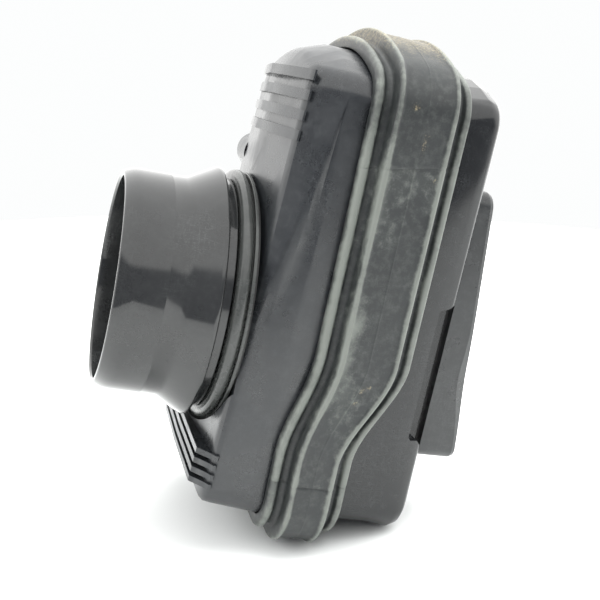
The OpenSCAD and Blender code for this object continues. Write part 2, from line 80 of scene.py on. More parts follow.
class Socket(Enum):
    """Kinds of socket that the shared effects use."""

    NUMBER = "NodeSocketFloat"
    VECTOR = "NodeSocketVector"
    COLOUR = "NodeSocketColor"


class Effect(Enum):
    """Shared shader effects, each built once as a node group."""

    GRAIN = "moulded_grain"
    DUST = "settled_dust"
    SCUFFS = "scuff_lines"
    CLOUDS = "tone_clouds"


class EffectLibrary:
    """Builds the shared effects on first use and hands them out."""

    def __init__(self) -> None:
        """Starts with no group built."""
        self._groups: dict[Effect, bpy.types.NodeTree] = {}

    def get(self, effect: Effect) -> bpy.types.NodeTree:
        """Gives the node group of an effect.

        Args:
            effect: The effect wanted.

        Returns:
            The shader node group, built once.
        """
        if effect not in self._groups:
            builders = {
                Effect.GRAIN: self._grain,
                Effect.DUST: self._dust,
                Effect.SCUFFS: self._scuffs,
                Effect.CLOUDS: self._clouds,
            }
            self._groups[effect] = builders[effect](effect.value)
        return self._groups[effect]

    @staticmethod
    def _start(name: str, inputs: dict[str, float], output: str) -> GroupParts:
        """Makes an empty group with a Vector input, number inputs and one number output.

        Args:
            name: Name of the group.
            inputs: Number inputs and their defaults.
            output: Name of the output.

        Returns:
            The group, its input node and its output node.
        """
        tree = bpy.data.node_groups.new(name, "ShaderNodeTree")
        tree.interface.new_socket("Vector", in_out="INPUT", socket_type=Socket.VECTOR.value)
        for label, default in inputs.items():
            socket = tree.interface.new_socket(
                label, in_out="INPUT", socket_type=Socket.NUMBER.value
            )
            socket.default_value = default
        tree.interface.new_socket(output, in_out="OUTPUT", socket_type=Socket.NUMBER.value)
        return tree, tree.nodes.new("NodeGroupInput"), tree.nodes.new("NodeGroupOutput")

    def _grain(self, name: str) -> bpy.types.NodeTree:
        """Fine texture of a moulded surface, as a height."""
        tree, source, sink = self._start(name, {"Scale": 2500.0}, "Height")
        fine = add(tree, "ShaderNodeTexNoise", Detail=4.0, Roughness=0.65)
        tree.links.new(source.outputs["Vector"], fine.inputs["Vector"])
        tree.links.new(source.outputs["Scale"], fine.inputs["Scale"])
        tree.links.new(fine.outputs["Fac"], sink.inputs["Height"])
        return tree

    def _clouds(self, name: str) -> bpy.types.NodeTree:
        """Broad uneven tone, from 0 to 1."""
        tree, source, sink = self._start(name, {"Scale": 60.0}, "Tone")
        broad = add(tree, "ShaderNodeTexNoise", Detail=5.0, Roughness=0.6)
        spread = ranged(tree, broad.outputs["Fac"], 0.36, 0.66)
        tree.links.new(source.outputs["Vector"], broad.inputs["Vector"])
        tree.links.new(source.outputs["Scale"], broad.inputs["Scale"])
        tree.links.new(spread, sink.inputs["Tone"])
        return tree

    def _dust(self, name: str) -> bpy.types.NodeTree:
        """Dust film in patches with single bright specks, as a mask."""
        tree, source, sink = self._start(name, {"Scale": 400.0, "Amount": 0.3}, "Mask")
        film = add(tree, "ShaderNodeTexNoise", Detail=8.0, Roughness=0.72)
        patches = ranged(tree, film.outputs["Fac"], 0.42, 0.75)
        specks = add(tree, "ShaderNodeTexVoronoi", Randomness=1.0)
        speck_mask = ranged(tree, specks.outputs["Distance"], 0.10, 0.05)
        chosen = add(tree, "ShaderNodeTexNoise", Detail=2.0, Scale=90.0)
        chosen_mask = ranged(tree, chosen.outputs["Fac"], 0.52, 0.62)
        for node in (film, specks, chosen):
            tree.links.new(source.outputs["Vector"], node.inputs["Vector"])
        tree.links.new(source.outputs["Scale"], film.inputs["Scale"])
        tree.links.new(maths(tree, "MULTIPLY", source.outputs["Scale"], 2.2),
                       specks.inputs["Scale"])
        lone = maths(tree, "MULTIPLY", speck_mask, chosen_mask)
        soft = maths(tree, "MULTIPLY", patches, source.outputs["Amount"])
        bright = maths(tree, "MULTIPLY", lone, maths(tree, "SQRT", source.outputs["Amount"]))
        tree.links.new(maths(tree, "MAXIMUM", soft, bright), sink.inputs["Mask"])
        return tree

    def _scuffs(self, name: str) -> bpy.types.NodeTree:
        """Long fine scratches in two directions, as a mask."""
        tree, source, sink = self._start(name, {"Scale": 120.0, "Amount": 0.3}, "Mask")
        lines = []
        for turn, stretch in (((0.3, 0.1, 0.4), (1.0, 1.0, 9.0)),
                              ((1.2, 0.5, -0.6), (9.0, 1.3, 1.0))):
            place = add(tree, "ShaderNodeMapping")
            place.inputs["Rotation"].default_value = turn
            place.inputs["Scale"].default_value = stretch
            tree.links.new(source.outputs["Vector"], place.inputs["Vector"])
            thread = add(tree, "ShaderNodeTexNoise", Detail=3.0, Roughness=0.7)
            tree.links.new(place.outputs["Vector"], thread.inputs["Vector"])
            tree.links.new(source.outputs["Scale"], thread.inputs["Scale"])
            offset = maths(tree, "SUBTRACT", thread.outputs["Fac"], 0.5)
            lines.append(ranged(tree, maths(tree, "ABSOLUTE", offset), 0.012, 0.0))
        both = maths(tree, "MAXIMUM", *lines)
        patch = add(tree, "ShaderNodeTexNoise", Detail=2.0, Scale=45.0)
        tree.links.new(source.outputs["Vector"], patch.inputs["Vector"])
        where = ranged(tree, patch.outputs["Fac"], 0.5, 0.66)
        kept = maths(tree, "MULTIPLY", both, where)
        tree.links.new(maths(tree, "MULTIPLY", kept, source.outputs["Amount"]),
                       sink.inputs["Mask"])
        return tree


def add(tree: bpy.types.NodeTree, kind: str, **values: float) -> bpy.types.Node:
    """Adds a node and sets its inputs by name.

    Args:
        tree: Tree that gets the node.
        kind: Blender's name for the node type.
        **values: Input values.

    Returns:
        The new node.
    """
    node = tree.nodes.new(kind)
    for label, value in values.items():
        node.inputs[label].default_value = value
    return node


def maths(tree: bpy.types.NodeTree, operation: str, *values: object) -> bpy.types.NodeSocket:
    """Adds a Math node fed by sockets or numbers and gives its result."""
    node = tree.nodes.new("ShaderNodeMath")
    node.operation = operation
    for slot, value in zip(node.inputs, values):
        if isinstance(value, (int, float)):
            slot.default_value = value
        else:
            tree.links.new(value, slot)
    return node.outputs[0]


def ranged(
    tree: bpy.types.NodeTree,
    value: bpy.types.NodeSocket,
    low: float,
    high: float,
    to_low: float = 0.0,
    to_high: float = 1.0,
) -> bpy.types.NodeSocket:
    """Maps a value smoothly from one range to another and gives the result."""
    node = tree.nodes.new("ShaderNodeMapRange")
    node.interpolation_type = "SMOOTHSTEP"
    for label, number in (("From Min", low), ("From Max", high),
                          ("To Min", to_low), ("To Max", to_high)):
        node.inputs[label].default_value = number
    tree.links.new(value, node.inputs["Value"])
    return node.outputs["Result"]


def blended(
    tree: bpy.types.NodeTree, share: bpy.types.NodeSocket, below: object, above: object
) -> bpy.types.NodeSocket:
    """Mixes two colours, each a socket or three numbers, and gives the result."""
    node = tree.nodes.new("ShaderNodeMix")
    node.data_type = "RGBA"
    tree.links.new(share, node.inputs["Factor"])
    for slot, value in ((node.inputs[6], below), (node.inputs[7], above)):
        if isinstance(value, bpy.types.NodeSocket):
            tree.links.new(value, slot)
        else:
            slot.default_value = (*value, 1.0)
    return node.outputs[2]


EFFECTS = EffectLibrary()


# ---------------------------------------------------------------- finishes


SHADED_SHARE = 0.78
COAT_ROUGHNESS = 0.12


class Pattern(Enum):
    """What a finish shows close up."""

    MOULDED = "moulded"
    BRUSHED = "brushed"
    CELLS = "cells"
    FIBRES = "fibres"


@dataclass(frozen=True)
class Finish:
    """One finish: its colour, gloss and the detail on its surface."""

    name: str
    base: Colour
    dusty: Colour
    roughness: float
    roughness_spread: float = 0.08
    grain_mm: float = 0.35
    bump_mm: float = 0.02
    dust: float = 0.15
    scuffs: float = 0.3
    metallic: float = 0.0
    coat: float = 0.0
    specular: float = 0.5
    pattern: Pattern = Pattern.MOULDED
    # Colour of rubbed crests, also used for the painted lighter band that stands in for a
    # reflection.
    worn_and_reflection: Optional[Colour] = None
    dirt: Optional[Colour] = None

    def build(self) -> bpy.types.Material:
        """Builds the material.

        Returns:
            The finished material.
        """
        material = bpy.data.materials.new(self.name)
        material.use_nodes = True
        tree = material.node_tree
        shader = tree.nodes["Principled BSDF"]
        shader.inputs["Metallic"].default_value = self.metallic
        shader.inputs["Coat Weight"].default_value = self.coat
        shader.inputs["Coat Roughness"].default_value = COAT_ROUGHNESS
        shader.inputs["Specular IOR Level"].default_value = self.specular
        place = tree.nodes.new("ShaderNodeTexCoord").outputs["Object"]
        tone = self._effect(tree, Effect.CLOUDS, place, {"Scale": 55.0})
        dust = self._effect(tree, Effect.DUST, place, {"Scale": 420.0, "Amount": self.dust})
        scuffs = self._effect(tree, Effect.SCUFFS, place,
                              {"Scale": 110.0, "Amount": self.scuffs})
        shaded = tuple(channel * SHADED_SHARE for channel in self.base)
        colour = blended(tree, tone, shaded, self.base)
        colour = blended(tree, maths(tree, "MAXIMUM", dust, scuffs), colour, self.dusty)
        colour = self._worn_reflected_and_dirty(tree, colour, dust, tone)
        tree.links.new(colour, shader.inputs["Base Color"])
        low, high = self.roughness - self.roughness_spread, self.roughness + self.roughness_spread
        gloss = ranged(tree, maths(tree, "ADD", maths(tree, "MULTIPLY", tone, 0.7), dust),
                       0.0, 1.0, low, high)
        tree.links.new(gloss, shader.inputs["Roughness"])
        self._bump(tree, shader, place, scuffs)
        return material

    @staticmethod
    def _effect(
        tree: bpy.types.NodeTree,
        effect: Effect,
        place: bpy.types.NodeSocket,
        values: dict[str, float],
    ) -> bpy.types.NodeSocket:
        """Places a shared effect in the material and gives its output."""
        node = tree.nodes.new("ShaderNodeGroup")
        node.node_tree = EFFECTS.get(effect)
        tree.links.new(place, node.inputs["Vector"])
        for label, value in values.items():
            node.inputs[label].default_value = value
        return node.outputs[0]

    def _worn_reflected_and_dirty(
        self,
        tree: bpy.types.NodeTree,
        colour: bpy.types.NodeSocket,
        dust: bpy.types.NodeSocket,
        tone: bpy.types.NodeSocket,
    ) -> bpy.types.NodeSocket:
        """Adds rubbed crests, a painted reflection band and earth, where the piece's own
        attributes say.

        Args:
            tree: The material's tree.
            colour: Colour so far.
            dust: Dust mask, which breaks the edges up.
            tone: Broad uneven tone, which makes the wear patchy.

        Returns:
            The colour with wear and dirt.
        """
        if self.worn_and_reflection:
            # The wear attribute also carries a painted reflection: the band is painted lighter
            # between its cross seams.
            rubbed_and_reflection = self._attribute(tree, "wear")
            uneven = maths(tree, "MULTIPLY", maths(tree, "SUBTRACT", tone, 0.5), 0.5)
            broken = maths(tree, "ADD", maths(tree, "ADD", rubbed_and_reflection, uneven),
                           maths(tree, "MULTIPLY", dust, 0.6))
            colour = blended(tree, ranged(tree, broken, 0.35, 1.20), colour, self.worn_and_reflection)
        if self.dirt:
            speckled = add(tree, "ShaderNodeTexNoise", Scale=1500.0, Detail=6.0, Roughness=0.75)
            place = tree.nodes.new("ShaderNodeTexCoord").outputs["Object"]
            tree.links.new(place, speckled.inputs["Vector"])
            amount = maths(tree, "ADD", self._attribute(tree, "dirt"),
                           maths(tree, "SUBTRACT", speckled.outputs["Fac"], 0.62))
            colour = blended(tree, ranged(tree, amount, 0.05, 0.45), colour, self.dirt)
        return colour

    @staticmethod
    def _attribute(tree: bpy.types.NodeTree, name: str) -> bpy.types.NodeSocket:
        """Reads one of the piece's own attributes as a number."""
        node = tree.nodes.new("ShaderNodeAttribute")
        node.attribute_name = name
        return node.outputs["Fac"]

    def _bump(
        self,
        tree: bpy.types.NodeTree,
        shader: bpy.types.Node,
        place: bpy.types.NodeSocket,
        scuffs: bpy.types.NodeSocket,
    ) -> None:
        """Gives the surface its close-up relief.

        Args:
            tree: The material's tree.
            shader: The Principled shader.
            place: Object coordinates.
            scuffs: Scratch mask, which is cut into the surface.
        """
        per_metre = 1.0 / (self.grain_mm * MM)
        if self.pattern is Pattern.CELLS:
            cells = add(tree, "ShaderNodeTexVoronoi", Scale=per_metre)
            tree.links.new(place, cells.inputs["Vector"])
            height = cells.outputs["Distance"]
        elif self.pattern in (Pattern.BRUSHED, Pattern.FIBRES):
            along = tree.nodes.new("ShaderNodeMapping")
            long_way = 0.05 if self.pattern is Pattern.BRUSHED else 0.3
            along.inputs["Scale"].default_value = (1.0, long_way, 1.0)
            tree.links.new(place, along.inputs["Vector"])
            height = self._effect(tree, Effect.GRAIN, along.outputs["Vector"],
                                  {"Scale": per_metre})
        else:
            height = self._effect(tree, Effect.GRAIN, place, {"Scale": per_metre})
        relief = tree.nodes.new("ShaderNodeBump")
        relief.inputs["Strength"].default_value = 0.7
        relief.inputs["Distance"].default_value = self.bump_mm * MM
        cut = maths(tree, "SUBTRACT", height, maths(tree, "MULTIPLY", scuffs, 0.8))
        tree.links.new(cut, relief.inputs["Height"])
        tree.links.new(relief.outputs["Normal"], shader.inputs["Normal"])


class Slot(Enum):
    """Finishes of the housing. Each value is the record's material slot."""

    SHELL = "shell_satin"
    REAR = "rear_gloss"
    SPIGOT = "spigot_gloss"
    RING = "ring_satin"
    COLLAR = "collar_satin"
    BAND = "band_rubber"
    SEAL = "seal_rubber"
    GRID = "grid_plastic"
    STEEL = "zinc_steel"
    BRASS = "insert_brass"
    FRAME = "frame_plastic"
    PAPER = "filter_paper"
    GLUE = "glue_bead"
    SCREEN = "screen_wire"
    FOAM = "foam"


FINISHES: dict[Slot, Finish] = {
    Slot.SHELL: Finish(
        "satin_shell_plastic", base=(0.0165, 0.0185, 0.0210), dusty=(0.090, 0.098, 0.100),
        roughness=0.33, roughness_spread=0.07, grain_mm=0.30, bump_mm=0.010, dust=0.16,
        scuffs=0.35, specular=0.7),
    Slot.REAR: Finish(
        "glossy_rear_plastic", base=(0.0120, 0.0130, 0.0140), dusty=(0.080, 0.086, 0.088),
        roughness=0.17, roughness_spread=0.06, grain_mm=0.30, bump_mm=0.006, dust=0.12,
        scuffs=0.35),
    Slot.SPIGOT: Finish(
        "polished_spigot_plastic", base=(0.0210, 0.0220, 0.0225), dusty=(0.080, 0.085, 0.084),
        roughness=0.12, roughness_spread=0.05, grain_mm=0.45, bump_mm=0.004, dust=0.10,
        scuffs=0.5, coat=0.3),
    Slot.RING: Finish(
        "satin_ring_plastic", base=(0.0480, 0.0510, 0.0490), dusty=(0.140, 0.145, 0.140),
        roughness=0.27, roughness_spread=0.07, grain_mm=0.30, bump_mm=0.008, dust=0.14,
        scuffs=0.3),
    Slot.COLLAR: Finish(
        "satin_collar_plastic", base=(0.0340, 0.0360, 0.0370), dusty=(0.130, 0.136, 0.134),
        roughness=0.34, roughness_spread=0.07, grain_mm=0.28, bump_mm=0.012, dust=0.16,
        scuffs=0.35),
    Slot.BAND: Finish(
        "dusty_band_rubber", base=(0.025, 0.028, 0.0285), dusty=(0.095, 0.102, 0.095),
        roughness=0.50, roughness_spread=0.08, grain_mm=0.40, bump_mm=0.035, dust=0.42,
        scuffs=0.35, worn_and_reflection=(0.165, 0.178, 0.160), dirt=(0.42, 0.35, 0.21)),
    Slot.SEAL: Finish(
        "seal_rubber", base=(0.012, 0.012, 0.012), dusty=(0.08, 0.08, 0.075),
        roughness=0.62, roughness_spread=0.08, grain_mm=0.35, bump_mm=0.02, dust=0.2,
        scuffs=0.1),
    Slot.GRID: Finish(
        "grid_plastic", base=(0.022, 0.024, 0.025), dusty=(0.12, 0.12, 0.12),
        roughness=0.45, roughness_spread=0.08, grain_mm=0.3, bump_mm=0.012, dust=0.15,
        scuffs=0.2),
    Slot.STEEL: Finish(
        "zinc_plated_steel", base=(0.52, 0.53, 0.54), dusty=(0.34, 0.33, 0.30),
        roughness=0.32, roughness_spread=0.1, grain_mm=0.12, bump_mm=0.008, dust=0.2,
        scuffs=0.3, metallic=1.0, pattern=Pattern.BRUSHED),
    Slot.BRASS: Finish(
        "insert_brass", base=(0.68, 0.50, 0.24), dusty=(0.40, 0.30, 0.16),
        roughness=0.34, roughness_spread=0.1, grain_mm=0.15, bump_mm=0.01, dust=0.2,
        scuffs=0.3, metallic=1.0, pattern=Pattern.BRUSHED),
    Slot.FRAME: Finish(
        "orange_frame_moulding", base=(0.52, 0.15, 0.045), dusty=(0.45, 0.33, 0.24),
        roughness=0.50, roughness_spread=0.08, grain_mm=0.5, bump_mm=0.02, dust=0.25,
        scuffs=0.15),
    Slot.PAPER: Finish(
        "pleated_filter_paper", base=(0.66, 0.56, 0.37), dusty=(0.40, 0.36, 0.28),
        roughness=0.82, roughness_spread=0.08, grain_mm=0.25, bump_mm=0.04, dust=0.35,
        scuffs=0.0, pattern=Pattern.FIBRES),
    Slot.GLUE: Finish(
        "hot_melt_beads", base=(0.72, 0.69, 0.60), dusty=(0.55, 0.52, 0.44),
        roughness=0.35, roughness_spread=0.08, grain_mm=0.6, bump_mm=0.01, dust=0.15,
        scuffs=0.0),
    Slot.SCREEN: Finish(
        "woven_wire_screen", base=(0.55, 0.56, 0.57), dusty=(0.36, 0.36, 0.35),
        roughness=0.38, roughness_spread=0.1, grain_mm=0.2, bump_mm=0.02, dust=0.2,
        scuffs=0.1, metallic=1.0, pattern=Pattern.BRUSHED),
    Slot.FOAM: Finish(
        "open_cell_foam", base=(0.055, 0.068, 0.048), dusty=(0.14, 0.14, 0.11),
        roughness=0.9, roughness_spread=0.05, grain_mm=0.9, bump_mm=0.5, dust=0.35,
        scuffs=0.0, pattern=Pattern.CELLS),
}
_MATERIALS: dict[Slot, bpy.types.Material] = {}


def material_for(slot: Slot) -> bpy.types.Material:
    """Gives a slot's material, built on first use."""
    if slot not in _MATERIALS:
        _MATERIALS[slot] = FINISHES[slot].build()
    return _MATERIALS[slot]


# ---------------------------------------------------------------- mesh helpers


def finish_piece(
    work: bmesh.types.BMesh,
    name: str,
    slot: Slot,
    body: str,
    replaces: Sequence[str],
    crease: float = 38.0,
) -> bpy.types.Object:
    """Turns a bmesh into a placed, dressed piece that rides on its body.

    Args:
        work: The finished bmesh, which is freed.
        name: Name of the piece.
        slot: Finish of the piece.
        body: CAD body that it moves with.
        replaces: CAD nodes that it stands for.
        crease: Angle in degrees over which an edge stays sharp.

    Returns:
        The new object.
    """
    mesh = bpy.data.meshes.new(name)
    work.to_mesh(mesh)
    work.free()
    mesh.polygons.foreach_set("use_smooth", [True] * len(mesh.polygons))
    mesh.set_sharp_from_angle(angle=math.radians(crease))
    piece = bpy.data.objects.new(name, mesh)
    bpy.context.scene.collection.objects.link(piece)
    piece.data.materials.append(material_for(slot))
    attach(piece, body)
    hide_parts(*replaces)
    LOG.info("%s: %d faces, on %s", name, len(mesh.polygons), body)
    return piece


def merged_copy(node: str) -> bmesh.types.BMesh:
    """Gives a CAD node's mesh with its triangles joined and its flats made whole."""
    work = bmesh.new()
    work.from_mesh(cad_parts[node].data)
    bmesh.ops.remove_doubles(work, verts=work.verts, dist=MERGE_DISTANCE)
    bmesh.ops.dissolve_limit(work, angle_limit=FLAT_ANGLE, verts=work.verts, edges=work.edges)
    return work


def soften_edges(piece: bpy.types.Object, width_mm: float, over: float = 40.0) -> None:
    """Rounds a piece's crisp edges and evens out its shading.

    Args:
        piece: The piece.
        width_mm: Width of the rounding in millimetres.
        over: Edges that turn by more than this angle in degrees are rounded.
    """
    bevel = piece.modifiers.new("rounded_edges", "BEVEL")
    bevel.width = width_mm * MM
    bevel.segments = 2
    bevel.limit_method = "ANGLE"
    bevel.angle_limit = math.radians(over)
    bevel.harden_normals = False
    normals = piece.modifiers.new("even_shading", "WEIGHTED_NORMAL")
    normals.keep_sharp = True


@dataclass(frozen=True)
class TurnPoint:
    """One corner of a turned profile: its place, its radius and its fillet."""

    x: float
    r: float
    fillet: float = 0.0


def turned(profile: Sequence[TurnPoint], steps: int = 160) -> bmesh.types.BMesh:
    """Spins a closed profile about the spigot's axis and fillets its corners.

    Args:
        profile: Corners of the section, in order.
        steps: Segments round the axis.

    Returns:
        The closed ring.
    """
    work = bmesh.new()
    corners = [work.verts.new(at_mm(p.x, 0.0, p.r)) for p in profile]
    edges = [work.edges.new((corners[i - 1], corner)) for i, corner in enumerate(corners)]
    bmesh.ops.spin(work, geom=corners + edges, cent=(0, 0, 0), axis=(1, 0, 0), dvec=(0, 0, 0),
                   angle=math.tau, steps=steps, use_merge=True, use_duplicate=False)
    bmesh.ops.remove_doubles(work, verts=work.verts, dist=MERGE_DISTANCE)
    for point in profile:
        if point.fillet > 0:
            hoop = [e for e in work.edges if all(on_circle(v.co, point) for v in e.verts)]
            bmesh.ops.bevel(work, geom=hoop, offset=point.fillet * MM, affect="EDGES",
                            segments=4, profile=0.5, material=-1)
    bmesh.ops.recalc_face_normals(work, faces=work.faces)
    return work


def on_circle(place: Vector, point: TurnPoint) -> bool:
    """Says whether a vertex lies on a profile corner's circle."""
    local = from_mouth(place)
    reach = math.hypot(local.y, local.z)
    return abs(local.x - point.x) < ON_CIRCLE_MM and abs(reach - point.r) < ON_CIRCLE_MM


# ---------------------------------------------------------------- hose spigot


@dataclass
class HoseSpigot:
    """The glossy swivelling spigot that takes the hose."""

    land_r: float = 35.0
    mouth_r: float = 33.6
    bore_r: float = 32.0
    tail_bore_r: float = 28.8
    shoulder_r: float = 40.0
    groove_r: float = 37.0
    tail_r: float = 31.0
    land_start: float = 4.0
    land_end: float = 20.0
    shoulder_x: float = 29.6
    bore_end: float = 24.0
    ring_x: float = 33.2
    o_ring_groove: tuple[float, float] = (40.88, 42.32)
    o_ring_r: float = 29.8
    snap_groove: tuple[float, float] = (44.25, 45.95)
    snap_r: float = 29.9
    tail_end: float = 48.0
    mould_line_x: float = 14.5
    mould_line_h: float = 0.07

    def profile(self) -> list[TurnPoint]:
        """Gives the section from the mouth round to the bore."""
        line, rise = self.mould_line_x, self.mould_line_h
        return [
            TurnPoint(0.0, self.bore_r + 0.5, 0.2),
            TurnPoint(0.0, self.mouth_r - 0.2, 0.5),
            TurnPoint(1.4, self.mouth_r + 0.65, 1.2),
            TurnPoint(self.land_start, self.land_r, 1.4),
            TurnPoint(line - 0.3, self.land_r),
            TurnPoint(line - 0.15, self.land_r + rise),
            TurnPoint(line + 0.15, self.land_r + rise),
            TurnPoint(line + 0.3, self.land_r),
            TurnPoint(self.land_end, self.land_r, 0.9),
            TurnPoint(self.shoulder_x - 0.8, self.shoulder_r, 0.6),
            TurnPoint(self.shoulder_x, self.shoulder_r - 0.3, 0.25),
            TurnPoint(self.shoulder_x + 0.6, self.groove_r, 0.25),
            TurnPoint(self.ring_x - 0.4, self.groove_r, 0.3),
            TurnPoint(self.ring_x - 0.4, self.tail_r, 0.2),
            TurnPoint(self.o_ring_groove[0], self.tail_r),
            TurnPoint(self.o_ring_groove[0], self.o_ring_r),
            TurnPoint(self.o_ring_groove[1], self.o_ring_r),
            TurnPoint(self.o_ring_groove[1], self.tail_r),
            TurnPoint(self.snap_groove[0], self.tail_r),
            TurnPoint(self.snap_groove[0], self.snap_r),
            TurnPoint(self.snap_groove[1], self.snap_r),
            TurnPoint(self.snap_groove[1], self.tail_r),
            TurnPoint(self.tail_end - 0.6, self.tail_r),
            TurnPoint(self.tail_end, self.tail_r - 0.6),
            TurnPoint(self.tail_end, self.tail_bore_r, 0.3),
            TurnPoint(self.shoulder_x + 2.0, self.tail_bore_r, 1.0),
            TurnPoint(self.bore_end, self.bore_r, 1.0),
            TurnPoint(0.6, self.bore_r, 0.15),
        ]

    def build(self) -> None:
        """Turns the spigot and dresses it."""
        finish_piece(turned(self.profile(), 192), "hose_spigot", Slot.SPIGOT, "spigot",
                     ["outlet_spigot"], crease=50.0)


@dataclass
class RetainingRing:
    """The round ring that holds the spigot against the front wall."""

    bore_r: float = 31.08
    x: float = 33.2
    bead_w: float = 3.85
    lip_w: float = 1.35
    bead_base_r: float = 38.0
    crest_r: float = 40.2
    lip_r: float = 39.85
    bead_steps: int = 14

    def profile(self) -> list[TurnPoint]:
        """Gives the section: a half-round bead, a fine line and a thin lip."""
        rise = self.crest_r - self.bead_base_r
        bead = [
            TurnPoint(self.x + self.bead_w * (1 - math.cos(turn)) / 2,
                      self.bead_base_r + rise * math.sin(turn))
            for turn in (math.pi * i / self.bead_steps for i in range(self.bead_steps + 1))
        ]
        lip_start = self.x + self.bead_w + 0.25
        return [
            TurnPoint(self.x, self.bore_r),
            *bead,
            TurnPoint(lip_start, self.bead_base_r),
            TurnPoint(lip_start, self.lip_r, 0.2),
            TurnPoint(self.x + self.bead_w + self.lip_w, self.lip_r, 0.3),
            TurnPoint(self.x + self.bead_w + self.lip_w, self.bore_r),
        ]

    def build(self) -> None:
        """Turns the ring and dresses it."""
        finish_piece(turned(self.profile(), 192), "retaining_ring", Slot.RING, "front",
                     ["spigot_ring"])


# ---------------------------------------------------------------- rubber band


class Anchor(Enum):
    """Line of the band that a section corner keeps its distance from."""

    FRONT = "front edge"
    MIDDLE = "middle"
    JOINT = "joint between the shells"
    REAR = "rear edge"


@dataclass(frozen=True)
class SectionPoint:
    """One corner of the band's section."""

    anchor: Anchor
    along: float
    height: float
    wear: float = 0.0


@dataclass(frozen=True)
class OutlinePoint:
    """One station round the shells: a point of the core line and the way out from it."""

    y: float
    z: float
    out_y: float
    out_z: float

    def at(self, reach: float) -> tuple[float, float]:
        """Gives Y and Z at a reach from the core line."""
        return self.y + reach * self.out_y, self.z + reach * self.out_z


